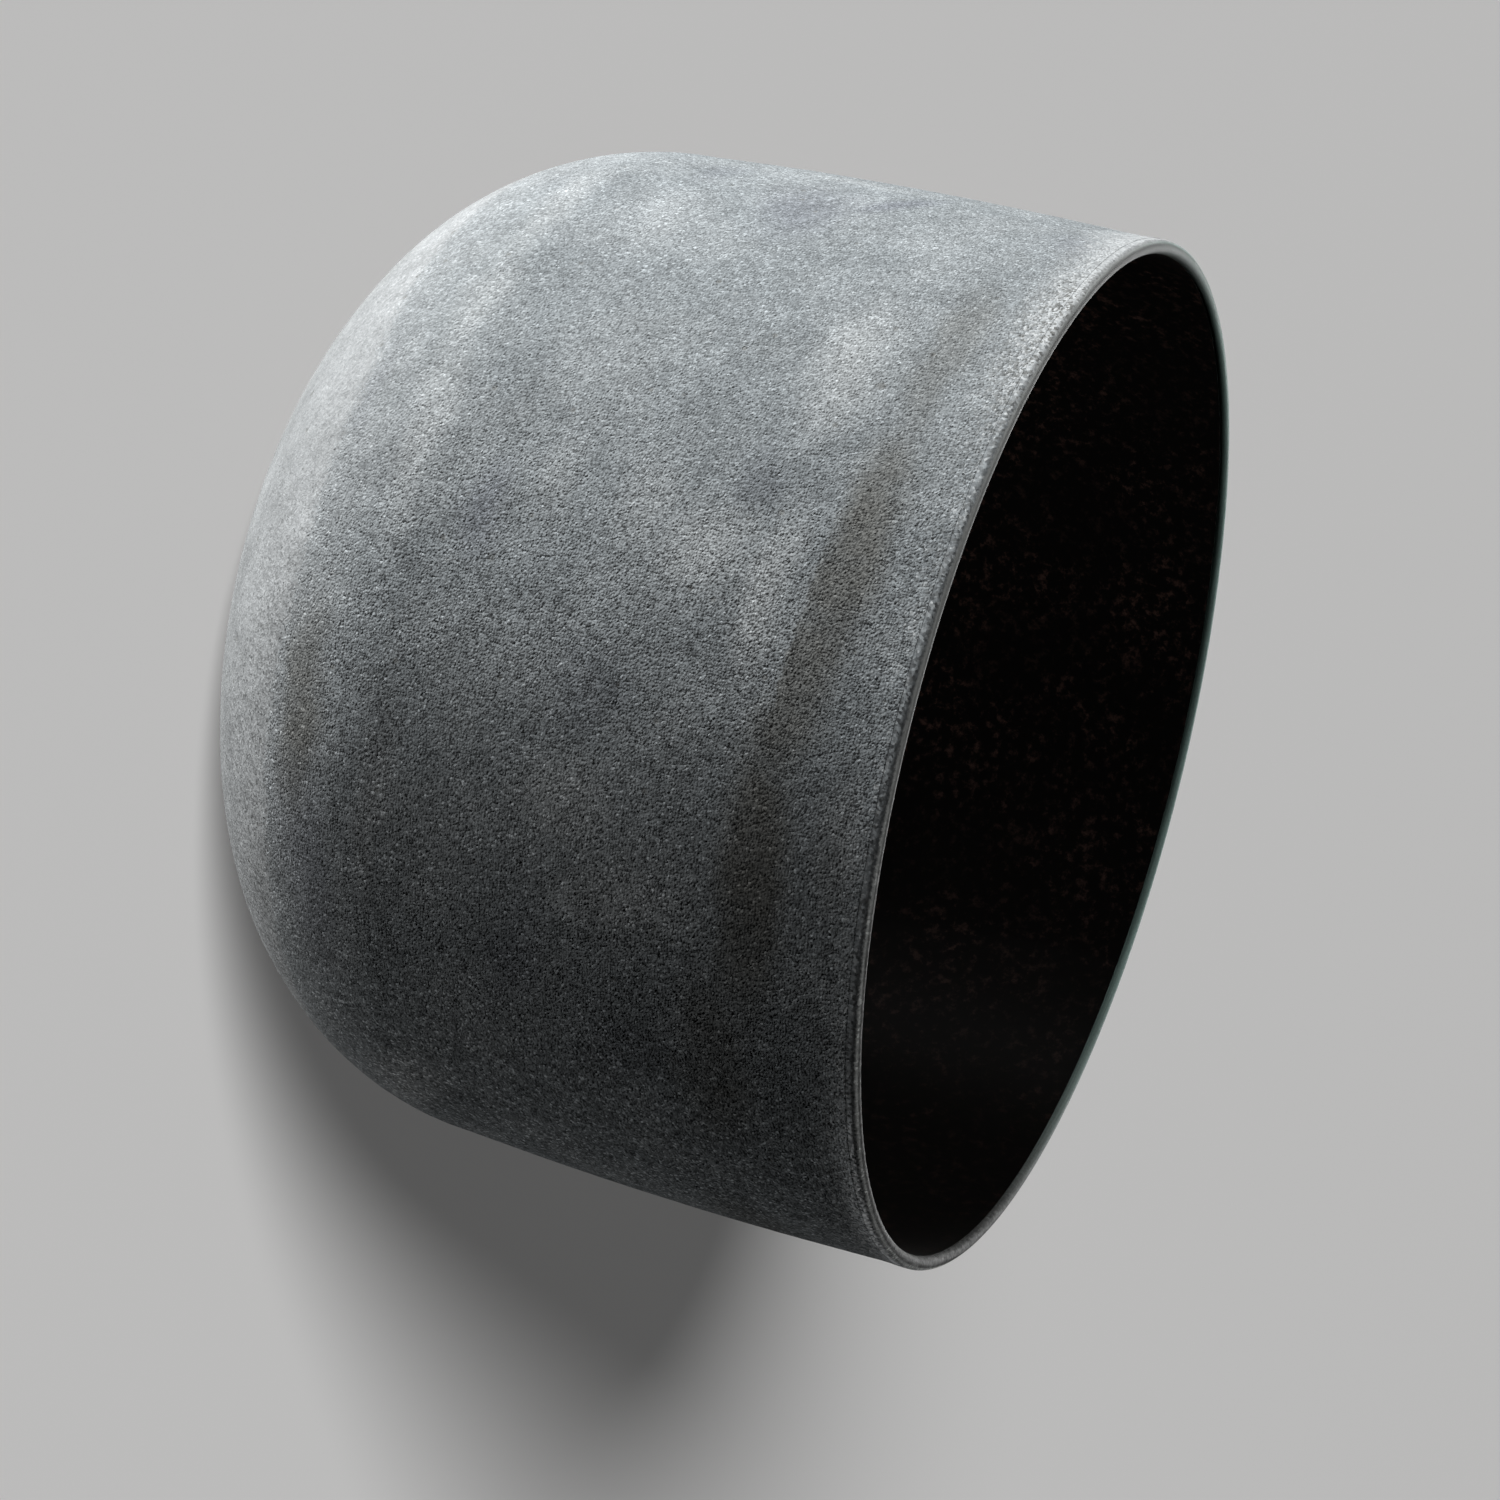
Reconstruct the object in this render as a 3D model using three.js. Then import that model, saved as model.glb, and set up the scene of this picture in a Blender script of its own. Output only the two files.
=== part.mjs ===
import * as THREE from "three";

// Deep singing bowl of fused quartz, standing upright on the small ground face of its base.
// The wall is one vessel made of three fused layers: a sand-frosted grey skin outside, the
// quartz body with its smooth rounded lip and bare ground foot, and a glossy black lining.
// Millimetres, +Z up along the bowl's axis, origin at the centre of the ground face.

// Overall form of the outer face
const HEIGHT = 154.6;
const RIM_RADIUS = 101.5;
const SHOULDER_RADIUS = 100.9; // where the wall ends and the rounded shoulder begins
const SHOULDER_HEIGHT = 59.8;
const WALL_BELLY = 1.2; // how far the wall swells between the shoulder and the rim
const GROUND_RADIUS = 38; // flat face that the bowl stands on
const FOOT_RADIUS = 43; // bare quartz round the ground face, up to where the frosting starts

// Layers of the wall
const WALL_THICKNESS = 2.8;
const SKIN_THICKNESS = 0.5;
const LINING_THICKNESS = 0.4;
const LAYER_GAP = 0.1; // clearance between two layers

// Bare quartz at the lip
const LIP_BAND = 2.2; // from the top of the lip down to the upper edge of the frosting
const LINING_DROP = 1.6; // from the top of the lip down to the upper edge of the lining

// Fineness of the lathe
const AROUND = 64;
const SHOULDER_STEPS = 10;
const WALL_STEPS = 6;
const LIP_STEPS = 6;

const shoulderReach = SHOULDER_RADIUS - GROUND_RADIUS;

// The shoulder is a quarter of an ellipse. Its angle runs from 0 at the edge of the ground
// face to a quarter turn at the foot of the wall.
function shoulderAngle(radius) {
  return Math.asin((radius - GROUND_RADIUS) / shoulderReach);
}

// Point of the shoulder at one depth under the outer face.
function shoulderPoint(angle, depth) {
  const normal = new THREE.Vector2(
    Math.sin(angle) / shoulderReach,
    -Math.cos(angle) / SHOULDER_HEIGHT,
  ).normalize();
  return new THREE.Vector2(
    GROUND_RADIUS + shoulderReach * Math.sin(angle),
    SHOULDER_HEIGHT * (1 - Math.cos(angle)),
  ).addScaledVector(normal, -depth);
}

// Radius of the outer face of the wall at height z.
function wallRadius(z) {
  const share = (z - SHOULDER_HEIGHT) / (HEIGHT - SHOULDER_HEIGHT);
  const flare = (RIM_RADIUS - SHOULDER_RADIUS) * share;
  return SHOULDER_RADIUS + flare + WALL_BELLY * Math.sin(Math.PI * share);
}

// Shoulder and wall at one depth, from the shoulder's angle start up to the height top.
function side(depth, start, top) {
  const points = [];
  for (let i = 0; i <= SHOULDER_STEPS; i++) {
    const angle = start + (Math.PI / 2 - start) * (i / SHOULDER_STEPS);
    points.push(shoulderPoint(angle, depth));
  }
  for (let i = 1; i <= WALL_STEPS; i++) {
    const z = SHOULDER_HEIGHT + (top - SHOULDER_HEIGHT) * (i / WALL_STEPS);
    points.push(new THREE.Vector2(wallRadius(z) - depth, z));
  }
  return points;
}

// Whole face at one depth, from the axis up to the height top.
function bowlFace(depth, top) {
  return [new THREE.Vector2(0, depth), ...side(depth, 0, top)];
}

// The rounded lip, from its outer side over the top to its inner side.
function lipArc() {
  const radius = WALL_THICKNESS / 2;
  const centreHeight = HEIGHT - radius;
  const centreRadius = wallRadius(centreHeight) - radius;
  const points = [];
  for (let i = 0; i <= LIP_STEPS; i++) {
    const angle = Math.PI * (i / LIP_STEPS);
    points.push(
      new THREE.Vector2(
        centreRadius + radius * Math.cos(angle),
        centreHeight + radius * Math.sin(angle),
      ),
    );
  }
  return points;
}

function turned(name, profile, material) {
  const mesh = new THREE.Mesh(new THREE.LatheGeometry(profile, AROUND), material);
  mesh.name = name;
  mesh.rotation.x = Math.PI / 2; // the lathe turns about +Y, the bowl about +Z
  return mesh;
}

// Sand-frosted outer skin, from the bare foot up to just below the lip.
function sandSkin() {
  const start = shoulderAngle(FOOT_RADIUS);
  const top = HEIGHT - LIP_BAND;
  const profile = [...side(0, start, top), ...side(SKIN_THICKNESS, start, top).reverse()];
  profile.push(profile[0].clone());
  return turned(
    "sand_skin",
    profile,
    new THREE.MeshStandardMaterial({ color: 0x858a93, roughness: 0.85, metalness: 0 }),
  );
}

// Quartz body of the wall. Its lip and its foot stand bare, so they come out to the outer face.
function quartzWall() {
  const outerDepth = SKIN_THICKNESS + LAYER_GAP;
  const innerDepth = WALL_THICKNESS - LINING_THICKNESS - LAYER_GAP;
  const footEdge = shoulderAngle(FOOT_RADIUS - LAYER_GAP);
  const bandFoot = HEIGHT - LIP_BAND + LAYER_GAP;
  const liningTop = HEIGHT - LINING_DROP + LAYER_GAP;
  const profile = [
    new THREE.Vector2(0, 0),
    shoulderPoint(0, 0),
    shoulderPoint(footEdge, 0),
    ...side(outerDepth, footEdge, bandFoot),
    new THREE.Vector2(wallRadius(bandFoot), bandFoot),
    ...lipArc(),
    new THREE.Vector2(wallRadius(liningTop) - WALL_THICKNESS, liningTop),
    ...bowlFace(innerDepth, liningTop).reverse(),
  ];
  return turned(
    "quartz_wall",
    profile,
    new THREE.MeshStandardMaterial({ color: 0x5f6664, roughness: 0.35, metalness: 0 }),
  );
}

// Glossy black lining of the whole inside.
function blackLining() {
  const top = HEIGHT - LINING_DROP;
  const profile = [
    ...bowlFace(WALL_THICKNESS - LINING_THICKNESS, top),
    ...bowlFace(WALL_THICKNESS, top).reverse(),
  ];
  return turned(
    "black_lining",
    profile,
    new THREE.MeshStandardMaterial({ color: 0x070707, roughness: 0.15, metalness: 0 }),
  );
}

const bowl = new THREE.Group();
bowl.add(sandSkin(), quartzWall(), blackLining());

export default bowl;
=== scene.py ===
import math

import bmesh
import bpy
from bpy.props import FloatProperty, FloatVectorProperty, IntProperty, PointerProperty
from mathutils import Matrix, Vector, noise


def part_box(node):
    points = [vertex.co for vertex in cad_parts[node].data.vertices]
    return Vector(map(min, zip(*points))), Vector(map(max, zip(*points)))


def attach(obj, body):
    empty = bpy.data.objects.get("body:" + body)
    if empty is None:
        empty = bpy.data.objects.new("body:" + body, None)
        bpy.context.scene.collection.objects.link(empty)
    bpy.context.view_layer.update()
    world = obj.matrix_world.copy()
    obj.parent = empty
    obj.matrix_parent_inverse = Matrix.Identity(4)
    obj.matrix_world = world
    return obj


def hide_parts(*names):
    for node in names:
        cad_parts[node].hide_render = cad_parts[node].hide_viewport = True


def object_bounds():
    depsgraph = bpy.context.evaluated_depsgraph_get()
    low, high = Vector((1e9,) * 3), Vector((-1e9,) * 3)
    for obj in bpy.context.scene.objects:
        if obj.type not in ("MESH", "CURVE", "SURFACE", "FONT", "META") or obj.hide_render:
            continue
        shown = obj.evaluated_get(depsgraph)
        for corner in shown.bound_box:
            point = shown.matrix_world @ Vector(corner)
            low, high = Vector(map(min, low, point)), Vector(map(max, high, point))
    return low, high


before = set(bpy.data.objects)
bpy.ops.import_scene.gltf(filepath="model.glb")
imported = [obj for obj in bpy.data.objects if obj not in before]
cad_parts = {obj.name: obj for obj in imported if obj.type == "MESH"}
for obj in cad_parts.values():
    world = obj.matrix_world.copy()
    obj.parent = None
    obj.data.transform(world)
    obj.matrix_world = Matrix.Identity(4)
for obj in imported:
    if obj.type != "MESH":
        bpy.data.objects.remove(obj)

bl_info = {
    "name": "Frosted Quartz Singing Bowl",
    "version": (1, 0, 0),
    "blender": (4, 5, 0),
    "location": "3D View > Sidebar > Bowl",
    "description": "Models and finishes a deep sand-frosted quartz singing bowl and its studio",
    "category": "Object",
}

# The whole model's box before anything replaces a node
CAD_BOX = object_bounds()
BODY = "root"
MM = 0.001

# Heights that the frame gives
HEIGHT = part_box("quartz_wall")[1].z
SKIN_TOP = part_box("sand_skin")[1].z
LINING_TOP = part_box("black_lining")[1].z
GROUND = CAD_BOX[0].z

# Point inside the bowl that every inner face looks at
HEART = Vector((0, 0, HEIGHT * 0.6))

# Rows of each profile: on the shoulder, and on the wall above it
SKIN_FACE_ROWS = (66, 66)
SKIN_BACK_ROWS = (10, 20)
QUARTZ_FACE_ROWS = (8, 24)
QUARTZ_BACK_ROWS = (8, 4)
LINING_FACE_ROWS = (40, 40)
LINING_BACK_ROWS = (16, 8)
FOOT_ROWS = 4
LIP_ROWS = 20

# Points closer than this are one, and edges sharper than this stay sharp
MERGE_DISTANCE = 0.001 * MM
SHARP_ANGLE = math.radians(40)

# Size and seed of the skin's hollows and lumps, and size, seed and share of the frays in its edge
HOLLOWS = (34 * MM, 1.7)
LUMPS = ((5 * MM, 4.1), (2.6 * MM, 7.3))
FRAYS = ((4 * MM, 9.2, 0.6), (1.6 * MM, 3.4, 0.4))


class BowlForm(bpy.types.PropertyGroup):
    """Sizes of the bowl"""

    rim_radius: FloatProperty(
        name="Rim radius",
        description="Outer radius of the wall at the height of the lip",
        default=101.5 * MM,
        unit="LENGTH",
    )
    shoulder_radius: FloatProperty(
        name="Shoulder radius",
        description="Outer radius where the wall ends and the rounded shoulder begins",
        default=100.9 * MM,
        unit="LENGTH",
    )
    shoulder_height: FloatProperty(
        name="Shoulder height",
        description="Height at which the rounded shoulder runs out into the wall",
        default=59.8 * MM,
        unit="LENGTH",
    )
    wall_belly: FloatProperty(
        name="Belly",
        description="How far the wall swells between the shoulder and the rim",
        default=1.2 * MM,
        unit="LENGTH",
    )
    ground_radius: FloatProperty(
        name="Ground face",
        description="Radius of the flat face that the bowl stands on",
        default=38.0 * MM,
        unit="LENGTH",
    )
    foot_radius: FloatProperty(
        name="Bare foot",
        description="Radius at which the frosting starts",
        default=43.0 * MM,
        unit="LENGTH",
    )
    wall_thickness: FloatProperty(
        name="Wall",
        description="Thickness of the whole wall",
        default=2.8 * MM,
        unit="LENGTH",
    )
    skin_thickness: FloatProperty(
        name="Frosted skin",
        description="Thickness of the sand-frosted outer layer",
        default=0.5 * MM,
        unit="LENGTH",
    )
    lining_thickness: FloatProperty(
        name="Lining",
        description="Thickness of the black inner layer",
        default=0.4 * MM,
        unit="LENGTH",
    )
    layer_gap: FloatProperty(
        name="Layer gap",
        description="Clearance between two layers",
        default=0.1 * MM,
        unit="LENGTH",
    )
    feather: FloatProperty(
        name="Feathered edge",
        description="Height over which the frosting thins out below its upper edge",
        default=3.5 * MM,
        unit="LENGTH",
    )
    edge_thickness: FloatProperty(
        name="Edge thickness",
        description="Thickness of the frosting at its upper edge",
        default=0.03 * MM,
        unit="LENGTH",
    )
    edge_gap: FloatProperty(
        name="Edge gap",
        description="Clearance between the frosting and the quartz at the frosting's upper edge",
        default=0.015 * MM,
        unit="LENGTH",
    )
    ragged: FloatProperty(
        name="Ragged edge",
        description="How far the frosting's upper edge wanders",
        default=0.2 * MM,
        unit="LENGTH",
    )
    waviness: FloatProperty(
        name="Waviness",
        description="Depth of the slow hollows that the mould left in the outer face",
        default=0.35 * MM,
        unit="LENGTH",
    )
    lumpiness: FloatProperty(
        name="Lumpiness",
        description="Depth of the small lumps under the frosting's grain",
        default=0.07 * MM,
        unit="LENGTH",
    )
    turns: IntProperty(
        name="Steps around",
        description="Number of steps that a full turn is made of",
        default=480,
        min=48,
    )


class BowlFinish(bpy.types.PropertyGroup):
    """Colours and grain of the bowl"""

    slate: FloatVectorProperty(
        name="Slate",
        description="Main colour of the frosted skin",
        default=(0.110, 0.118, 0.122),
        subtype="COLOR",
    )
    pale: FloatVectorProperty(
        name="Pale frosting",
        description="Colour of the frosting where it lies thick",
        default=(0.168, 0.175, 0.177),
        subtype="COLOR",
    )
    smoke: FloatVectorProperty(
        name="Smoke",
        description="Warm dark colour of the smoky band under the rim",
        default=(0.070, 0.070, 0.066),
        subtype="COLOR",
    )
    violet: FloatVectorProperty(
        name="Violet shade",
        description="Cool dark colour of the thin places in the frosting",
        default=(0.084, 0.089, 0.097),
        subtype="COLOR",
    )
    sanded: FloatVectorProperty(
        name="Sanded base",
        description="Neutral colour of the finer frosting under the base",
        default=(0.127, 0.130, 0.131),
        subtype="COLOR",
    )
    worn: FloatVectorProperty(
        name="Worn quartz",
        description="Whitish colour of the worn grains along the rim",
        default=(0.206, 0.210, 0.210),
        subtype="COLOR",
    )
    lip: FloatVectorProperty(
        name="Lip",
        description="Colour of the bare quartz at the lip and the foot",
        default=(0.108, 0.112, 0.110),
        subtype="COLOR",
    )
    # Lighter green of the lip on one side: partly clearer quartz, partly painted reflection of a bright floor
    glassy_and_reflection: FloatVectorProperty(
        name="Glassy lip",
        description="Greener colour of the lip where the quartz is clearer",
        default=(0.128, 0.192, 0.175),
        subtype="COLOR",
    )
    lining: FloatVectorProperty(
        name="Lining",
        description="Colour of the black lining",
        default=(0.0050, 0.0046, 0.0043),
        subtype="COLOR",
    )
    rust: FloatVectorProperty(
        name="Rust",
        description="Colour of the rusty flecks in the lining",
        default=(0.060, 0.034, 0.028),
        subtype="COLOR",
    )
    grain: FloatProperty(
        name="Grain",
        description="Size of the frosting's grains",
        default=0.46 * MM,
        unit="LENGTH",
    )
    grain_depth: FloatProperty(
        name="Grain depth",
        description="Height of the frosting's grains",
        default=0.42 * MM,
        unit="LENGTH",
    )
    grain_tilt: FloatProperty(
        name="Grain tilt",
        description="How far single grains lean out of the surface",
        default=0.54,
    )


class BowlStudio(bpy.types.PropertyGroup):
    """Floor, lights and camera"""

    floor: FloatVectorProperty(
        name="Floor",
        description="Colour of the plain floor",
        default=(0.78, 0.775, 0.77),
        subtype="COLOR",
    )
    key_power: FloatProperty(
        name="Key light",
        description="Power of the large soft light at the bowl's side, in watts",
        default=109.0,
    )
    low_power: FloatProperty(
        name="Low light",
        description="Power of the soft light under the base, in watts",
        default=13.5,
    )
    top_power: FloatProperty(
        name="Top light",
        description="Power of the large soft light overhead, in watts",
        default=72.2,
    )
    fill_power: FloatProperty(
        name="Fill light",
        description="Power of the weak light on the shadow side, in watts",
        default=11.5,
    )
    back_power: FloatProperty(
        name="Back light",
        description="Power of the soft light behind the bowl, in watts",
        default=20.0,
    )
    inside_power: FloatProperty(
        name="Inside light",
        description="Power of the weak light that falls on the lining alone, in watts",
        default=8.0,
    )
    sun_strength: FloatProperty(
        name="Floor light",
        description="Strength of the slanting light that falls on the floor alone",
        default=4.6,
    )
    haze_strength: FloatProperty(
        name="Floor haze",
        description="Strength of the wide light from above that falls on the floor alone",
        default=0.4,
    )
    sky: FloatProperty(
        name="Surroundings",
        description="Brightness of the plain surroundings behind the floor",
        default=0.5,
    )
    lens: FloatProperty(
        name="Lens",
        description="Focal length on a sensor 36 mm wide, in millimetres",
        default=86.4,
    )


def shoulder_angle(form, radius):
    """Angle on the shoulder's quarter ellipse at one radius of the outer face."""
    return math.asin((radius - form.ground_radius) / (form.shoulder_radius - form.ground_radius))


def shoulder_point(form, angle, depth):
    """Radius and height of the shoulder at one depth under the outer face."""
    reach = form.shoulder_radius - form.ground_radius
    outwards = Vector((math.sin(angle) / reach, -math.cos(angle) / form.shoulder_height)).normalized()
    radius = form.ground_radius + reach * math.sin(angle)
    height = form.shoulder_height * (1 - math.cos(angle))
    return Vector((radius, height)) - outwards * depth


def wall_radius(form, height):
    """Radius of the wall's outer face at one height."""
    share = (height - form.shoulder_height) / (HEIGHT - form.shoulder_height)
    flare = (form.rim_radius - form.shoulder_radius) * share
    return form.shoulder_radius + flare + form.wall_belly * math.sin(math.pi * share)


def side(form, depth, start, top, shoulder_rows, wall_rows):
    """Profile of the shoulder and the wall up to the height top. depth gives the depth at a height."""
    points = []
    for row in range(shoulder_rows + 1):
        angle = start + (math.pi / 2 - start) * row / shoulder_rows
        height = form.shoulder_height * (1 - math.cos(angle))
        points.append(shoulder_point(form, angle, depth(height)))
    for row in range(1, wall_rows + 1):
        height = form.shoulder_height + (top - form.shoulder_height) * row / wall_rows
        points.append(Vector((wall_radius(form, height) - depth(height), height)))
    return points


def lip_arc(form, rows):
    """Profile of the rounded lip, from its outer side over the top to its inner side."""
    radius = form.wall_thickness / 2
    centre = Vector((wall_radius(form, HEIGHT - radius) - radius, HEIGHT - radius))
    angles = [math.pi * row / rows for row in range(rows + 1)]
    return [centre + radius * Vector((math.cos(a), math.sin(a))) for a in angles]


def feathered(form, full, thin):
    """Depth that is full on the wall and thins out below the frosting's upper edge."""

    def depth(height):
        share = min(max((SKIN_TOP - height) / form.feather, 0), 1)
        return thin + (full - thin) * share

    return depth


def turned(form, profile, closed):
    """Body made by turning a profile about Z, a quarter turn that is then mirrored twice.

    A profile that isn't closed starts and ends on the axis.
    """
    body = bmesh.new()
    points = [body.verts.new((radius, 0, height)) for radius, height in profile]
    pairs = list(zip(points, points[1:]))
    if closed:
        pairs.append((points[-1], points[0]))
    lines = [body.edges.new(pair) for pair in pairs]
    bmesh.ops.spin(
        body,
        geom=points + lines,
        cent=(0, 0, 0),
        axis=(0, 0, 1),
        dvec=(0, 0, 0),
        angle=math.tau / 4,
        steps=form.turns // 4,
        use_merge=False,
        use_duplicate=False,
    )
    for axis in "XY":
        whole = [*body.verts, *body.edges, *body.faces]
        bmesh.ops.mirror(body, geom=whole, axis=axis, merge_dist=MERGE_DISTANCE)
    bmesh.ops.remove_doubles(body, verts=body.verts, dist=MERGE_DISTANCE)
    bmesh.ops.recalc_face_normals(body, faces=body.faces)
    body.normal_update()
    return body


def finished_piece(name, body, node, material):
    """Makes an object of a body and puts it in the place of one node of the frame."""
    mesh = bpy.data.meshes.new(name)
    body.to_mesh(mesh)
    body.free()
    mesh.shade_smooth()
    mesh.set_sharp_from_angle(angle=SHARP_ANGLE)
    mesh.materials.append(material)
    piece = bpy.data.objects.new(name, mesh)
    bpy.context.scene.collection.objects.link(piece)
    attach(piece, BODY)
    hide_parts(node)


def swell(place, size, seed):
    """Smooth noise from 0 to 1 whose lumps are about as large as size."""
    return 0.5 + 0.5 * noise.noise(place / size + Vector((seed, 2 * seed, 3 * seed)))


def weather_skin(form, body):
    """Moves the skin's outer face inwards by slow hollows and small lumps, and frays its upper edge."""
    for point in body.verts:
        place = point.co.copy()
        near_edge = max(0, 1 - (SKIN_TOP - place.z) / form.feather)
        if point.normal.dot(place - HEART) > 0:
            depth = form.waviness * swell(place, *HOLLOWS)
            for size, seed in LUMPS:
                depth += form.lumpiness * swell(place, size, seed)
            point.co -= point.normal * depth * (1 - near_edge)
        fray = sum(share * swell(place, size, seed) for size, seed, share in FRAYS)
        point.co.z -= form.ragged * fray * near_edge


class Finish:
    """Short ways of adding nodes to one material. Places are in millimetres."""

    def __init__(self, name):
        self.material = bpy.data.materials.new(name)
        self.material.use_nodes = True
        self.tree = self.material.node_tree
        self.shader = self.tree.nodes["Principled BSDF"]
        coordinates = self.tree.nodes.new("ShaderNodeTexCoord")
        self.place = self.vector("SCALE", coordinates.outputs["Object"], scale=1 / MM)
        parts = self.tree.nodes.new("ShaderNodeSeparateXYZ")
        self.feed(parts.inputs[0], self.place)
        self.height = parts.outputs["Z"]
        flat = self.vector("MULTIPLY", self.place, (1, 1, 0))
        self.radius = self.vector("LENGTH", flat)
        self.bearing = self.vector("NORMALIZE", flat)

    def feed(self, socket, value):
        """Links a socket to another, or sets its own value."""
        if isinstance(value, bpy.types.NodeSocket):
            self.tree.links.new(value, socket)
        elif socket.type == "RGBA":
            socket.default_value = (*tuple(value)[:3], 1)
        else:
            socket.default_value = value

    def math(self, operation, *values):
        """Result of one sum on numbers."""
        node = self.tree.nodes.new("ShaderNodeMath")
        node.operation = operation
        for socket, value in zip(node.inputs, values):
            self.feed(socket, value)
        return node.outputs[0]

    def vector(self, operation, *values, scale=None):
        """Result of one sum on places or directions."""
        node = self.tree.nodes.new("ShaderNodeVectorMath")
        node.operation = operation
        for socket, value in zip(node.inputs, values):
            self.feed(socket, value)
        if scale is not None:
            self.feed(node.inputs["Scale"], scale)
        return node.outputs["Value" if operation in ("LENGTH", "DOT_PRODUCT") else "Vector"]

    def step(self, value, low, high):
        """Smooth step from 0 where value is low to 1 where it is high. low may be the larger one."""
        node = self.tree.nodes.new("ShaderNodeMapRange")
        node.interpolation_type = "SMOOTHSTEP"
        self.feed(node.inputs["Value"], value)
        self.feed(node.inputs["From Min"], min(low, high))
        self.feed(node.inputs["From Max"], max(low, high))
        self.feed(node.inputs["To Min"], 0.0 if low < high else 1.0)
        self.feed(node.inputs["To Max"], 1.0 if low < high else 0.0)
        return node.outputs["Result"]

    def scaled(self, value, low, high):
        """Value from 0 to 1 stretched to run from low to high."""
        return self.math("MULTIPLY_ADD", value, high - low, low)

    def swung(self, value, reach):
        """Value from 0 to 1 stretched to run from -reach to reach."""
        return self.scaled(value, -reach, reach)

    def noise(self, size, detail=2.0, roughness=0.5, distortion=0.0, place=None):
        """Noise whose lumps are about size millimetres large."""
        node = self.tree.nodes.new("ShaderNodeTexNoise")
        self.feed(node.inputs["Vector"], self.place if place is None else place)
        self.feed(node.inputs["Scale"], 1 / size)
        self.feed(node.inputs["Detail"], detail)
        self.feed(node.inputs["Roughness"], roughness)
        self.feed(node.inputs["Distortion"], distortion)
        return node.outputs["Fac"]

    def warped(self, size, reach):
        """Place that wanders by about reach millimetres, in swirls about size millimetres large."""
        node = self.tree.nodes.new("ShaderNodeTexNoise")
        self.feed(node.inputs["Vector"], self.place)
        self.feed(node.inputs["Scale"], 1 / size)
        centred = self.vector("SUBTRACT", node.outputs["Color"], (0.5, 0.5, 0.5))
        return self.vector("ADD", self.place, self.vector("SCALE", centred, scale=2 * reach))

    def cells(self, size):
        """Distance to the nearest of many scattered points, about size millimetres apart."""
        node = self.tree.nodes.new("ShaderNodeTexVoronoi")
        self.feed(node.inputs["Vector"], self.place)
        self.feed(node.inputs["Scale"], 1 / size)
        return node.outputs["Distance"]

    def grains(self, size):
        """Dome, random colour and two random shades of packed grains about size millimetres large."""
        node = self.tree.nodes.new("ShaderNodeTexVoronoi")
        self.feed(node.inputs["Vector"], self.place)
        self.feed(node.inputs["Scale"], 1 / size)
        parts = self.tree.nodes.new("ShaderNodeSeparateColor")
        self.feed(parts.inputs[0], node.outputs["Color"])
        dome = self.math("SUBTRACT", 1.0, node.outputs["Distance"])
        return dome, node.outputs["Color"], parts.outputs[0], parts.outputs[1]

    def tilted(self, normal, grain_colour, tilt):
        """Normal that each grain turns its own way, by up to tilt."""
        lean = self.vector("SUBTRACT", grain_colour, (0.5, 0.5, 0.5))
        lean = self.vector("SCALE", lean, scale=tilt)
        return self.vector("NORMALIZE", self.vector("ADD", normal, lean))

    def mix(self, amount, first, second, mode="MIX"):
        """Two colours mixed by an amount."""
        node = self.tree.nodes.new("ShaderNodeMix")
        node.data_type = "RGBA"
        node.blend_type = mode
        self.feed(node.inputs["Factor"], amount)
        self.feed(node.inputs[6], first)
        self.feed(node.inputs[7], second)
        return node.outputs[2]

    def shade(self, value):
        """Grey of one value."""
        node = self.tree.nodes.new("ShaderNodeCombineColor")
        for socket in node.inputs:
            self.feed(socket, value)
        return node.outputs[0]

    def times(self, colour, value):
        """Colour multiplied by a value."""
        return self.mix(1.0, colour, self.shade(value), "MULTIPLY")

    def facing(self, azimuth, full, end):
        """1 within full degrees of an azimuth round the bowl, falling to 0 at end degrees from it."""
        turn = math.radians(azimuth)
        near = self.vector("DOT_PRODUCT", self.bearing, (math.cos(turn), math.sin(turn), 0))
        return self.step(near, math.cos(math.radians(end)), math.cos(math.radians(full)))

    def patch(self, place, azimuth, height, width, tall, core, tilt=0.0):
        """Soft oval patch on the outer face: 1 in its core and 0 beyond its half sizes width and tall."""
        turn = math.radians(azimuth)
        middle = (PATCH_RADIUS * math.cos(turn), PATCH_RADIUS * math.sin(turn), height)
        node = self.tree.nodes.new("ShaderNodeMapping")
        node.vector_type = "TEXTURE"
        self.feed(node.inputs["Vector"], place)
        self.feed(node.inputs["Location"], middle)
        self.feed(node.inputs["Rotation"], (math.radians(tilt), 0, turn))
        self.feed(node.inputs["Scale"], (PATCH_DEPTH, width, tall))
        return self.step(self.vector("LENGTH", node.outputs[0]), 1.0, core)

    def bump(self, height, depth):
        """Normal that height, from 0 to 1, gives over a depth in metres."""
        node = self.tree.nodes.new("ShaderNodeBump")
        self.feed(node.inputs["Strength"], 1.0)
        self.feed(node.inputs["Distance"], depth)
        self.feed(node.inputs["Height"], height)
        return node.outputs["Normal"]

    def finish(self, colour, roughness, normal, specular):
        """Joins the results to the shader and gives the material."""
        self.feed(self.shader.inputs["Base Color"], colour)
        self.feed(self.shader.inputs["Roughness"], roughness)
        self.feed(self.shader.inputs["Normal"], normal)
        self.shader.inputs["Specular IOR Level"].default_value = specular
        return self.material


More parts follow.
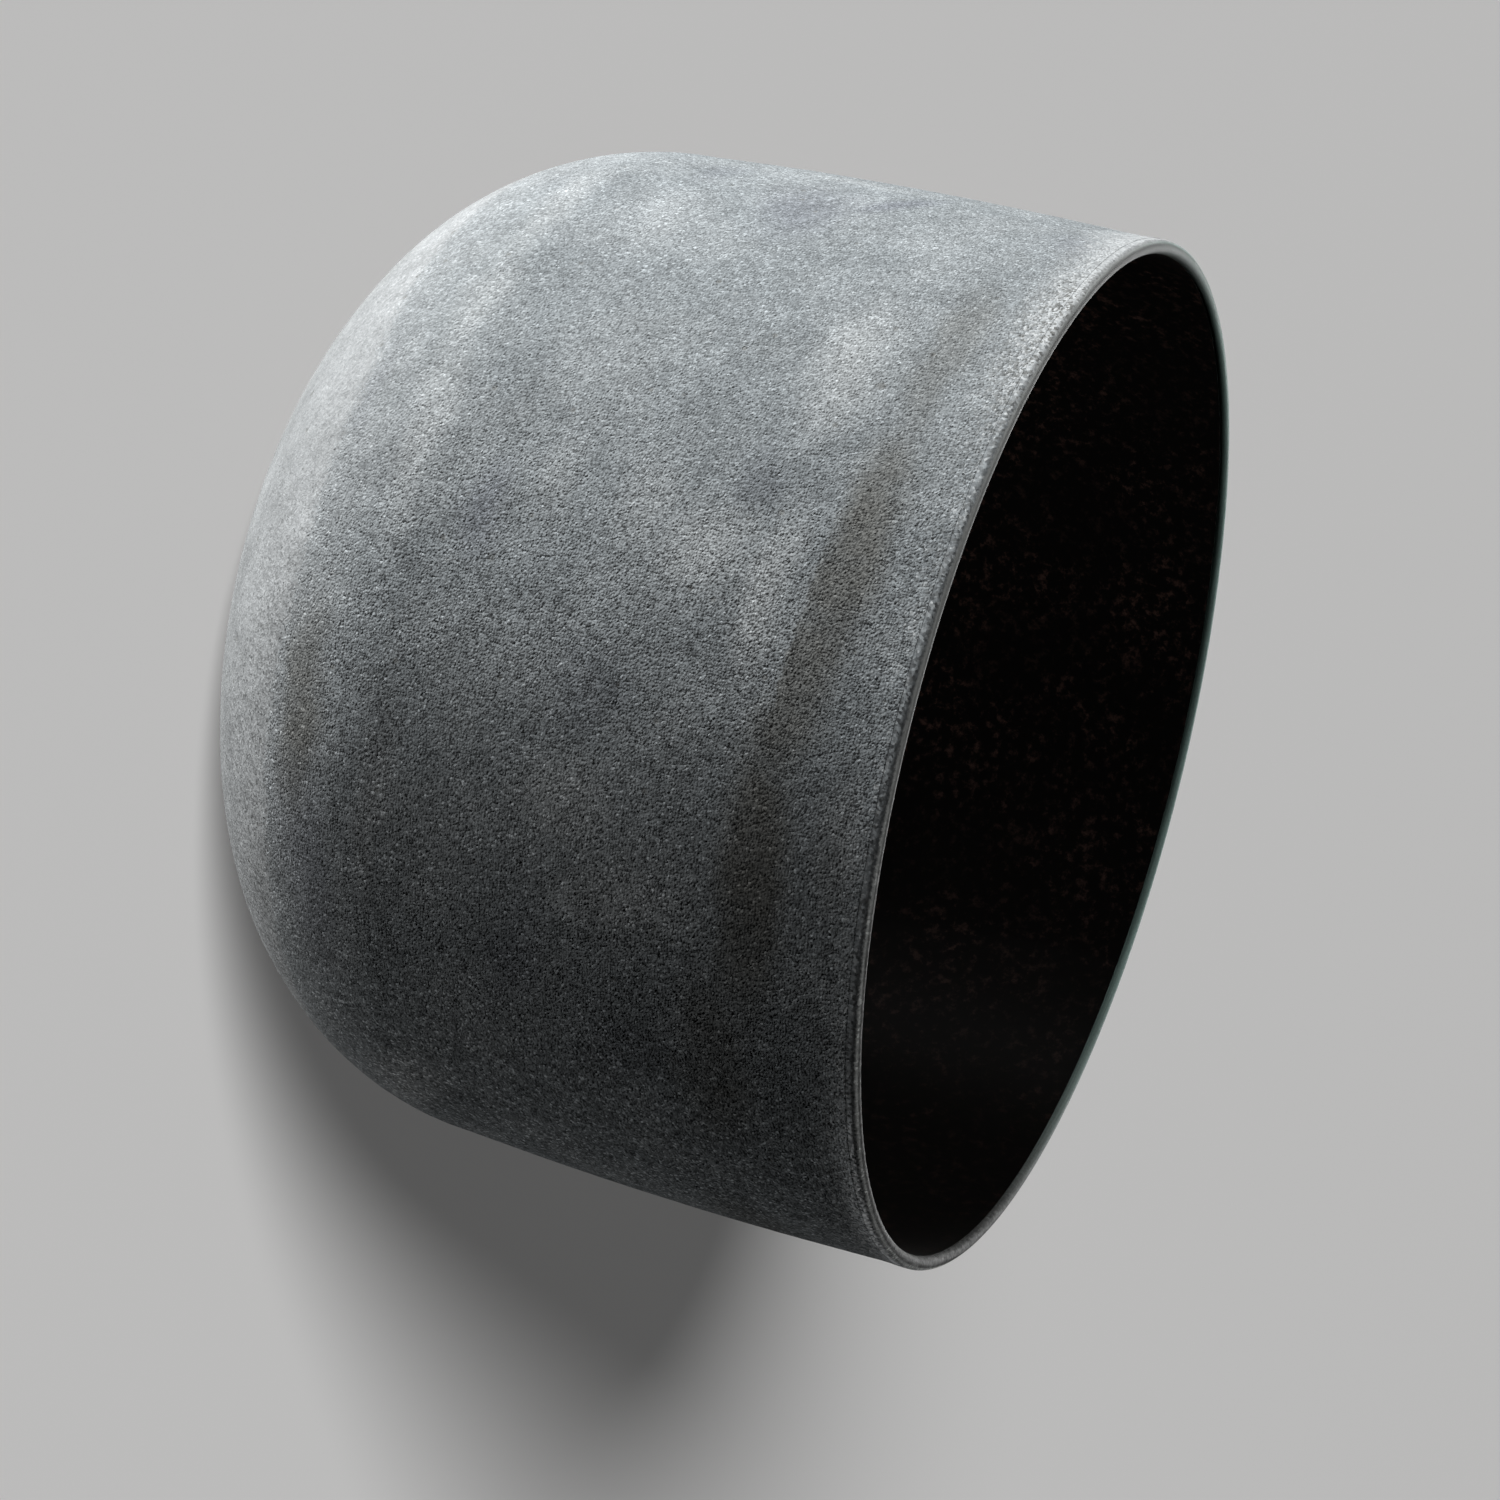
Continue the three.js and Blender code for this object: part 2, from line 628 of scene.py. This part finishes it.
# Clouds in the frosting: azimuth in degrees, height, half width, half height in mm, tilt in degrees, strength
PALE_CLOUDS_AND_PAINTED_LIGHT = (
    (-126, 123, 26, 13, 0, 1.00),
    (-98, 124, 24, 8, 0, 1.00),
    (-102, 111, 13, 14, 0, 0.80),
    (-105, 98, 14, 9, 0, 0.50),
    (-106, 81, 16, 7, 0, 0.45),
    (-66, 108, 14, 22, 10, 0.70),
    (-74, 95, 14, 17, 0, 0.75),
    (-76, 147, 16, 6, 0, 0.70),
    (-142, 73, 20, 12, 0, 0.50),
    (-108, 52, 32, 8, 0, 0.85),
    (-124, 50, 22, 7, 0, 0.85),
    (-142, 51, 32, 7, 0, 0.80),
    (-68, 59, 32, 6, 0, 0.60),
    # Painted light: this cloud stands for light bounced onto the shadow side above the shoulder
    (-28, 57, 30, 12, -25, 0.95),
    (-164, 95, 8, 24, 0, 0.40),
    (24, 72, 30, 12, -10, 0.60),
    (62, 116, 26, 13, 8, 0.80),
    (108, 84, 34, 12, -12, 0.65),
    (152, 118, 26, 12, 0, 0.80),
)
VIOLET_CLOUDS = (
    (-156, 109, 17, 5, -34, 0.90),
    (-149, 95, 20, 13, 0, 0.75),
    (-110, 117, 9, 7, 0, 0.40),
    (-86, 97, 14, 10, 0, 0.35),
    (-101, 69, 14, 7, 0, 0.75),
    (-158, 72, 12, 6, 0, 0.40),
    (-155, 144, 12, 6, 0, 0.45),
    (-56, 88, 18, 8, -15, 0.50),
    (-48, 110, 10, 16, 0, 0.45),
    (-58, 43, 36, 10, 4, 0.85),
    (-112, 36, 16, 5, 0, 0.45),
    (6, 112, 22, 12, 15, 0.60),
    (44, 92, 26, 12, 0, 0.60),
    (86, 60, 30, 11, -8, 0.60),
    (130, 104, 26, 12, 10, 0.70),
    (176, 76, 24, 12, 0, 0.50),
)
SMOKE_CLOUDS = (
    (-102, 137, 40, 8.5, 0, 0.95),
    (-90, 134, 26, 9, 0, 0.85),
    (-72, 132, 38, 9, 0, 1.00),
    (-49, 127, 28, 11, 0, 0.60),
    (-129, 138, 30, 7, 0, 0.50),
    (-14, 125, 24, 12, 0, 0.50),
    (-76, 41, 26, 7, 0, 0.85),
    (32, 135, 34, 7, 0, 0.70),
    (84, 138, 40, 6, 0, 0.50),
    (158, 136, 36, 7, 0, 0.45),
)

# Single marks: azimuth in degrees, height and radius in mm
DARK_SPOTS = ((-123, 130, 1.3), (-46, 129, 2.6), (-96, 73, 1.0), (38, 101, 1.8), (141, 52, 1.4))
LIGHT_CHIPS = ((-131, 96, 0.7), (-88, 57, 0.7), (15, 77, 0.8), (97, 121, 0.7))

# Radius in mm at which patches have their middle, and how deep they reach from there
PATCH_RADIUS = 101.0
PATCH_DEPTH = 60.0

# Heights in mm of what changes up the wall
BASE_EDGE = 33.5
BASE_BLUR = 1.2
BASE_STRIP = (14.0, 27.0)
SANDING_TOP = 58.0
SMOKE_EDGE = (130.0, 131.2)
WORN_BAND = (141.0, 155.0)
PALE_AND_SHEEN_BAND = (149.0, 154.0)
LIP_START = (100.0, 110.0)

# Places round the bowl: azimuth, and the degrees from it at which a thing thins out and ends
WORN_RIM = (-162, 12, 48)
SCUFFED_RIM = (-15, 20, 70)
GAPPED_RIM = (-122, 14, 34)
PALE_AND_SHEEN_RIM = (-5, 20, 55)
CRISP_SMOKE = (-108, 14, 24)
# Side on which the bright grains are painted glints
PAINTED_GLINTS = (-35, 40, 75)
CRUSTED_LIP = (-25, 30, 75)
DARKER_LIP = (-170, 20, 45)
CLEAR_AND_REFLECTING_LIP = (112, 30, 95)
RUSTY_SIDE = (140, 45, 95)

# Depth under the top at which the last grains end, and radius of the lip's middle, in mm
FROST_END = 0.35
LIP_MIDDLE = 100.3

# Distance between the grains, in grain sizes
GRAIN_SPACING = 1.1

# Depth of the faint unevenness of smooth faces
FAINT_RELIEF = 0.03 * MM


def clouds(f, place, patches, core=0.1):
    """Strength of the strongest of several soft patches."""
    total = 0.0
    for azimuth, height, width, tall, tilt, strength in patches:
        patch = f.patch(place, azimuth, height, width, tall, core, tilt)
        total = f.math("MAXIMUM", total, f.math("MULTIPLY", patch, strength))
    return total


def spots(f, marks):
    """1 on any of several small round marks."""
    place = f.warped(size=2.0, reach=0.5)
    total = 0.0
    for azimuth, height, size in marks:
        total = f.math("MAXIMUM", total, f.patch(place, azimuth, height, size, size, core=0.3))
    return total


def speckled(f, colour, rough, shade, share=1.0):
    """Colour broken into light and dark grains and a few bright ones, which towards one side are painted
    glints.
    """
    speckle = f.math("MULTIPLY_ADD", shade, 0.6, f.math("MULTIPLY", f.step(rough, 0.3, 0.7), 0.4))
    # Painted glints: the bright grains are painted lighter towards the bowl's shadow side
    painted_glint = f.scaled(f.facing(*PAINTED_GLINTS), 0.3, 1.1)
    bright_grains_and_glints = f.math("MULTIPLY", f.step(shade, 0.8, 1.0), painted_glint)
    lift = f.math("MULTIPLY", f.math("ADD", f.scaled(speckle, -0.42, 0.32), bright_grains_and_glints), share)
    return f.times(colour, f.math("ADD", lift, 1.0))


def worn_rim(f, look, height, colour, shade):
    """Colour with white grains between dark gaps, thickest along the rim, and a lighter top edge on the
    shadow side, partly pale wear and partly painted sheen.
    """
    scuffed = f.math("MULTIPLY", f.facing(*SCUFFED_RIM), 0.6)
    there = f.math("MAXIMUM", f.facing(*WORN_RIM), scuffed)
    worn = f.math("MULTIPLY", f.step(height, *WORN_BAND), f.scaled(there, 0.35, 1.0))
    flakes = f.step(f.math("MULTIPLY_ADD", worn, 0.7, shade), 0.95, 1.3)
    colour = f.times(colour, f.scaled(worn, 1.0, 0.92))
    colour = f.mix(f.math("MULTIPLY", worn, f.scaled(there, 0.0, 0.58)), colour, look.worn)
    colour = f.mix(f.math("MULTIPLY", flakes, 0.6), colour, look.worn)
    gapped = f.math("MULTIPLY", worn, f.facing(*GAPPED_RIM))
    gaps = f.math("MULTIPLY", f.step(shade, 0.4, 0.2), gapped)
    colour = f.mix(gaps, colour, look.smoke)
    # The rim's top edge on the shadow side is painted up to 2.2 times lighter, partly pale worn quartz and
    # partly painted sheen
    pale = f.math("MULTIPLY", f.facing(*PALE_AND_SHEEN_RIM), f.step(height, *PALE_AND_SHEEN_BAND))
    return f.times(colour, f.scaled(pale, 1.0, 2.2))


def frosted_material(look):
    """Sand-frosted quartz: grain, slow clouds, the smoky band, the worn rim and the finer base."""
    f = Finish("frosted_quartz")
    drift = f.warped(size=14, reach=5)
    slow = f.swung(f.noise(46, detail=2), 3.5)
    quick = f.swung(f.noise(2.2, detail=3, roughness=0.6), 1.6)
    height = f.math("ADD", f.math("ADD", f.height, slow), quick)

    size = look.grain / MM
    dome, grain_colour, shade, other_shade = f.grains(GRAIN_SPACING * size)
    rough = f.noise(size, detail=1.0)
    fine = f.noise(0.8 * size, detail=1.0)
    edge = f.math("ADD", height, f.swung(other_shade, BASE_BLUR))
    base = f.step(edge, BASE_EDGE + BASE_BLUR, BASE_EDGE - BASE_BLUR)

    thick = f.step(f.noise(20, detail=4, roughness=0.6, distortion=0.4), 0.38, 0.68)
    # Paler frosting where it lies thick and in clouds, one of which is painted bounced light
    pale = f.math("MAXIMUM", f.scaled(thick, 0.0, 0.3), clouds(f, drift, PALE_CLOUDS_AND_PAINTED_LIGHT))
    colour = f.mix(pale, look.slate, look.pale)
    colour = f.mix(clouds(f, drift, VIOLET_CLOUDS), colour, look.violet)
    near_base = f.step(height, SANDING_TOP, BASE_EDGE)
    colour = f.mix(near_base, colour, f.mix(0.45, colour, look.sanded))

    smoke = clouds(f, drift, SMOKE_CLOUDS, core=0.3)
    elsewhere = f.step(f.facing(*CRISP_SMOKE), 1.0, 0.0)
    crisp = f.math("MAXIMUM", f.step(height, *SMOKE_EDGE), elsewhere)
    patchy = f.scaled(f.step(f.noise(9, detail=3, roughness=0.6), 0.35, 0.6), 0.75, 1.0)
    smoke = f.math("MULTIPLY", smoke, f.math("MULTIPLY", patchy, crisp))
    colour = f.mix(smoke, colour, look.smoke)

    strip = f.scaled(f.step(height, *BASE_STRIP), 0.95, 1.11)
    colour = f.mix(base, colour, f.times(look.sanded, strip))
    blotches = f.scaled(f.noise(9, detail=3), 0.72, 1.28)
    mottle = f.math("ADD", blotches, f.swung(f.noise(3, detail=2), 0.1))
    colour = f.times(colour, mottle)
    colour = speckled(f, colour, rough, shade, f.scaled(base, 1.0, 0.7))
    colour = worn_rim(f, look, height, colour, other_shade)

    pits = f.math("MAXIMUM", f.step(f.cells(7), 0.10, 0.05), spots(f, DARK_SPOTS))
    colour = f.mix(f.math("MULTIPLY", pits, 0.6), colour, look.smoke)
    chips = f.math("MAXIMUM", f.step(f.cells(13), 0.045, 0.02), spots(f, LIGHT_CHIPS))
    colour = f.mix(f.math("MULTIPLY", chips, 0.35), colour, look.worn)

    coarse = f.math("MULTIPLY_ADD", dome, 0.35, f.math("MULTIPLY", rough, 0.4))
    relief = f.mix(base, coarse, f.math("MULTIPLY", fine, 0.3))
    relief = f.math("SUBTRACT", relief, f.math("MULTIPLY", pits, 0.2))
    normal = f.tilted(f.bump(relief, look.grain_depth), grain_colour, look.grain_tilt)
    return f.finish(colour, 0.85, normal, specular=0.0)


def bare_quartz_material(look):
    """Satin quartz of the lip and the foot, streaked round the bowl and frosted on the lip's outer side, with
    light painted on that outer side.
    """
    f = Finish("smooth_quartz")
    size = look.grain / MM
    _, grain_colour, shade, other_shade = f.grains(GRAIN_SPACING * size)
    rough = f.noise(size, detail=1.0)
    at_lip = f.step(f.height, *LIP_START)

    edge = f.math("ADD", f.height, f.scaled(f.math("ADD", shade, rough), -0.25, 0.0))
    last_grain = HEIGHT / MM - FROST_END
    frost = f.step(edge, last_grain, last_grain - 0.4)
    frost = f.math("MULTIPLY", frost, f.step(f.radius, LIP_MIDDLE, LIP_MIDDLE + 0.4))
    frost = f.math("MULTIPLY", frost, at_lip)

    # Painted light: the lip's outer side is painted 1.8 times lighter, and up to 3.4 times on its crusted
    # side, where little light reaches it. Elsewhere the lip is darker on its crusted side and at one more
    # place round the bowl
    outer = f.step(f.radius, LIP_MIDDLE + 0.3, LIP_MIDDLE + 0.8)
    crust = f.math("MULTIPLY", f.facing(*CRUSTED_LIP), at_lip)
    darker = f.math("MULTIPLY", f.facing(*DARKER_LIP), at_lip)
    level = f.math("MULTIPLY_ADD", darker, -0.25, f.math("MULTIPLY_ADD", crust, -0.66, 1.0))
    level = f.mix(outer, f.shade(level), f.shade(f.scaled(crust, 1.8, 3.4)))

    stretched = f.vector("MULTIPLY", f.place, (0.04, 0.04, 0.0))
    across = f.tree.nodes.new("ShaderNodeCombineXYZ")
    f.feed(across.inputs["X"], f.radius)
    f.feed(across.inputs["Z"], f.height)
    along = f.vector("ADD", stretched, across.outputs[0])
    streaks = f.noise(0.5, detail=3, roughness=0.6, place=along)
    streaked = f.scaled(f.step(streaks, 0.3, 0.7), 0.8, 1.2)
    tone = f.math("ADD", streaked, f.swung(f.noise(0.5, detail=1), 0.2))
    # The lip is greener and lighter on one side, partly clearer quartz and partly painted reflection
    colour = f.mix(f.facing(*CLEAR_AND_REFLECTING_LIP), look.lip, look.glassy_and_reflection)
    colour = f.mix(1.0, f.times(colour, tone), level, "MULTIPLY")
    colour = speckled(f, colour, rough, shade, crust)
    frosted = worn_rim(f, look, f.height, speckled(f, look.slate, rough, shade), other_shade)
    colour = f.mix(frost, colour, frosted)

    grainy = f.math("MAXIMUM", frost, f.math("MULTIPLY", crust, 0.6))
    tilt = f.math("MULTIPLY", grainy, look.grain_tilt)
    normal = f.tilted(f.bump(streaks, FAINT_RELIEF), grain_colour, tilt)
    roughness = f.scaled(f.math("MAXIMUM", grainy, streaks), 0.5, 0.8)
    return f.finish(colour, roughness, normal, specular=0.1)


def lining_material(look):
    """Glossy black lining with rusty flecks."""
    f = Finish("black_gloss")
    flecks = f.step(f.noise(2.2, detail=4, roughness=0.7), 0.50, 0.72)
    thick = f.scaled(f.step(f.noise(22, detail=3), 0.35, 0.65), 0.25, 1.0)
    rusty = f.math("MULTIPLY", thick, f.scaled(f.facing(*RUSTY_SIDE), 0.3, 1.0))
    colour = f.mix(f.math("MULTIPLY", flecks, rusty), look.lining, look.rust)
    normal = f.bump(f.noise(1.2, detail=3), FAINT_RELIEF)
    return f.finish(colour, 0.42, normal, specular=0.05)


class BOWL_OT_sand_skin(bpy.types.Operator):
    """Model the sand-frosted outer skin, from the bare foot to its ragged edge below the lip"""

    bl_idname = "bowl.sand_skin"
    bl_label = "Sand skin"
    bl_options = {"REGISTER", "UNDO"}

    def execute(self, context):
        form = context.scene.bowl_form
        start = shoulder_angle(form, form.foot_radius)
        face = side(form, lambda height: 0.0, start, SKIN_TOP, *SKIN_FACE_ROWS)
        depth = feathered(form, form.skin_thickness, form.edge_thickness)
        back = side(form, depth, start, SKIN_TOP, *SKIN_BACK_ROWS)
        body = turned(form, face + back[::-1], closed=True)
        weather_skin(form, body)
        material = frosted_material(context.scene.bowl_finish)
        finished_piece("frosted_skin", body, "sand_skin", material)
        return {"FINISHED"}


class BOWL_OT_quartz_wall(bpy.types.Operator):
    """Model the quartz body with its rounded lip and its bare foot"""

    bl_idname = "bowl.quartz_wall"
    bl_label = "Quartz wall"
    bl_options = {"REGISTER", "UNDO"}

    def execute(self, context):
        form = context.scene.bowl_form
        foot = shoulder_angle(form, form.foot_radius - form.layer_gap)
        outer_depth = form.skin_thickness + form.layer_gap
        edge_depth = form.edge_thickness + form.edge_gap
        inner_depth = form.wall_thickness - form.lining_thickness - form.layer_gap
        profile = [Vector((0, GROUND))]
        profile += [shoulder_point(form, foot * row / FOOT_ROWS, 0.0) for row in range(FOOT_ROWS + 1)]
        depth = feathered(form, outer_depth, edge_depth)
        profile += side(form, depth, foot, SKIN_TOP, *QUARTZ_FACE_ROWS)
        profile += lip_arc(form, LIP_ROWS)
        lining_edge = LINING_TOP + form.layer_gap
        profile.append(Vector((wall_radius(form, lining_edge) - form.wall_thickness, lining_edge)))
        profile += side(form, lambda height: inner_depth, 0.0, lining_edge, *QUARTZ_BACK_ROWS)[::-1]
        profile.append(Vector((0, inner_depth)))
        body = turned(form, profile, closed=False)
        material = bare_quartz_material(context.scene.bowl_finish)
        finished_piece("quartz_body", body, "quartz_wall", material)
        return {"FINISHED"}


class BOWL_OT_black_lining(bpy.types.Operator):
    """Model the black lining of the whole inside"""

    bl_idname = "bowl.black_lining"
    bl_label = "Black lining"
    bl_options = {"REGISTER", "UNDO"}

    def execute(self, context):
        form = context.scene.bowl_form
        back = form.wall_thickness - form.lining_thickness
        profile = [Vector((0, back))]
        profile += side(form, lambda height: back, 0.0, LINING_TOP, *LINING_BACK_ROWS)
        face = side(form, lambda height: form.wall_thickness, 0.0, LINING_TOP, *LINING_FACE_ROWS)
        profile += face[::-1]
        profile.append(Vector((0, form.wall_thickness)))
        body = turned(form, profile, closed=False)
        material = lining_material(context.scene.bowl_finish)
        finished_piece("inner_lining", body, "black_lining", material)
        return {"FINISHED"}


# The bowl as the camera sees it, in metres along the picture's right, up and towards the viewer
MOUTH_SEEN = Vector((0.06036, -0.00235, -0.69538))
AXIS_SEEN = Vector((0.91091, -0.23237, 0.34095)).normalized()

# Width of the camera's sensor in millimetres, and half the floor's side in metres
SENSOR_WIDTH = 36.0
FLOOR_REACH = 6.0

# Soft lights: azimuth and elevation in degrees, distance, width and height in metres, colour
WHITE = (1.0, 1.0, 1.0)
KEY_LIGHT = (-165.7, -39, 1.4, 0.43, 1.8, (0.97, 0.99, 1.0))
LOW_LIGHT = (-124, -56, 1.0, 0.8, 0.8, WHITE)
TOP_LIGHT = (162, 58, 2.9, 2.6, 2.6, (1.0, 0.99, 0.98))
FILL_LIGHT = (36, -30, 1.6, 0.4, 0.4, WHITE)
BACK_LIGHT = (98, 22, 1.6, 0.8, 0.8, WHITE)
INSIDE_LIGHT = (-30, 50, 1.6, 0.8, 0.8, WHITE)

# Even lights on the floor: azimuth, elevation and softness in degrees
FLOOR_SUN = (-117, 21, 20)
FLOOR_HAZE = (-117, 75, 120)


def photo_camera(lens):
    """Camera at the photograph's angle, placed from where the mouth and the axis are seen."""
    sideways = MOUTH_SEEN.cross(AXIS_SEEN).normalized()
    away = AXIS_SEEN.cross(sideways)
    turn = Matrix((sideways, away, AXIS_SEEN))
    data = bpy.data.cameras.new("camera")
    data.sensor_width = SENSOR_WIDTH
    data.lens = lens
    camera = bpy.data.objects.new("camera", data)
    place = Vector((0, 0, HEIGHT)) - turn @ MOUTH_SEEN
    camera.matrix_world = Matrix.Translation(place) @ turn.to_4x4()
    return camera


def soft_light(name, power, azimuth, elevation, distance, width, tall, colour):
    """Large soft light that looks at the middle of the bowl."""
    middle = Vector((0, 0, HEIGHT / 2))
    turn = math.radians(azimuth)
    lift = math.radians(elevation)
    level = math.cos(lift)
    towards = Vector((math.cos(turn) * level, math.sin(turn) * level, math.sin(lift)))
    data = bpy.data.lights.new(name, "AREA")
    data.shape = "RECTANGLE"
    data.size = width
    data.size_y = tall
    data.energy = power
    data.color = colour
    light = bpy.data.objects.new(name, data)
    facing = towards.to_track_quat("Z", "Y").to_matrix().to_4x4()
    light.matrix_world = Matrix.Translation(middle + towards * distance) @ facing
    light.visible_camera = False
    return light


def sun_light(name, strength, azimuth, elevation, softness):
    """Even light from one direction. softness is the angle that its source covers, in degrees."""
    data = bpy.data.lights.new(name, "SUN")
    data.energy = strength
    data.angle = math.radians(softness)
    light = bpy.data.objects.new(name, data)
    light.rotation_euler = (math.radians(90 - elevation), 0, math.radians(azimuth + 90))
    return light


def limit_lights(name, lights, thing, state):
    """Makes lights reach one thing alone, where state is INCLUDE, or all but it, where it is EXCLUDE."""
    group = bpy.data.collections.new(name)
    group.objects.link(thing)
    group.collection_objects[0].light_linking.link_state = state
    for light in lights:
        light.light_linking.receiver_collection = group


class BOWL_OT_studio(bpy.types.Operator):
    """Set up the plain floor, the soft lights and the camera at the photograph's angle"""

    bl_idname = "bowl.studio"
    bl_label = "Studio"
    bl_options = {"REGISTER", "UNDO"}

    def execute(self, context):
        scene = context.scene
        studio = scene.bowl_studio
        plane = bmesh.new()
        bmesh.ops.create_grid(plane, x_segments=1, y_segments=1, size=FLOOR_REACH)
        mesh = bpy.data.meshes.new("floor")
        plane.to_mesh(mesh)
        plane.free()
        floor = bpy.data.objects.new("floor", mesh)
        material = bpy.data.materials.new("plain_floor")
        material.use_nodes = True
        shader = material.node_tree.nodes["Principled BSDF"]
        shader.inputs["Base Color"].default_value = (*studio.floor, 1)
        shader.inputs["Roughness"].default_value = 0.8
        shader.inputs["Specular IOR Level"].default_value = 0.1
        mesh.materials.append(material)

        # The light on the bowl comes up through the floor, as on a light table, so the floor has its own
        key = soft_light("key_light", studio.key_power, *KEY_LIGHT)
        low = soft_light("low_light", studio.low_power, *LOW_LIGHT)
        top = soft_light("top_light", studio.top_power, *TOP_LIGHT)
        fill = soft_light("fill_light", studio.fill_power, *FILL_LIGHT)
        back = soft_light("back_light", studio.back_power, *BACK_LIGHT)
        sun = sun_light("floor_sun", studio.sun_strength, *FLOOR_SUN)
        haze = sun_light("floor_haze", studio.haze_strength, *FLOOR_HAZE)
        inside = soft_light("inside_light", studio.inside_power, *INSIDE_LIGHT)
        floor.visible_shadow = False
        floor.visible_diffuse = False
        limit_lights("bowl_lights_skip", (key, low, top, fill, back), floor, "EXCLUDE")
        limit_lights("floor_lights_reach", (sun, haze), floor, "INCLUDE")
        limit_lights("inside_light_reaches", (inside,), bpy.data.objects["inner_lining"], "INCLUDE")

        # The lit base throws no glow on the floor
        for name in ("frosted_skin", "quartz_body", "inner_lining"):
            bpy.data.objects[name].visible_diffuse = False

        camera = photo_camera(studio.lens)
        for thing in (floor, key, low, top, fill, back, sun, haze, inside, camera):
            scene.collection.objects.link(thing)
        scene.camera = camera

        # Pale surroundings that are seen but light nothing
        world = bpy.data.worlds.new("surroundings")
        scene.world = world
        world.use_nodes = True
        background = world.node_tree.nodes["Background"]
        background.inputs["Color"].default_value = (1, 1, 1, 1)
        background.inputs["Strength"].default_value = studio.sky
        world.cycles_visibility.diffuse = False
        world.cycles_visibility.glossy = False
        scene.view_settings.view_transform = "Standard"
        return {"FINISHED"}


class BOWL_PT_panel(bpy.types.Panel):
    """Bowl's sizes, finish and studio, and the steps that build it"""

    bl_idname = "BOWL_PT_panel"
    bl_label = "Singing bowl"
    bl_space_type = "VIEW_3D"
    bl_region_type = "UI"
    bl_category = "Bowl"

    def draw(self, context):
        layout = self.layout
        for step in STEPS:
            layout.operator(step.bl_idname)
        for group in (context.scene.bowl_form, context.scene.bowl_finish, context.scene.bowl_studio):
            box = layout.box()
            for name in group.bl_rna.properties.keys():
                if name not in ("rna_type", "name"):
                    box.prop(group, name)


STEPS = (BOWL_OT_sand_skin, BOWL_OT_quartz_wall, BOWL_OT_black_lining, BOWL_OT_studio)
CLASSES = (BowlForm, BowlFinish, BowlStudio, *STEPS, BOWL_PT_panel)


def register():
    for cls in CLASSES:
        bpy.utils.register_class(cls)
    bpy.types.Scene.bowl_form = PointerProperty(type=BowlForm)
    bpy.types.Scene.bowl_finish = PointerProperty(type=BowlFinish)
    bpy.types.Scene.bowl_studio = PointerProperty(type=BowlStudio)


def unregister():
    del bpy.types.Scene.bowl_studio
    del bpy.types.Scene.bowl_finish
    del bpy.types.Scene.bowl_form
    for cls in reversed(CLASSES):
        bpy.utils.unregister_class(cls)


def main():
    register()
    bpy.ops.bowl.sand_skin()
    bpy.ops.bowl.quartz_wall()
    bpy.ops.bowl.black_lining()
    bpy.ops.bowl.studio()


if __name__ == "__main__":
    main()
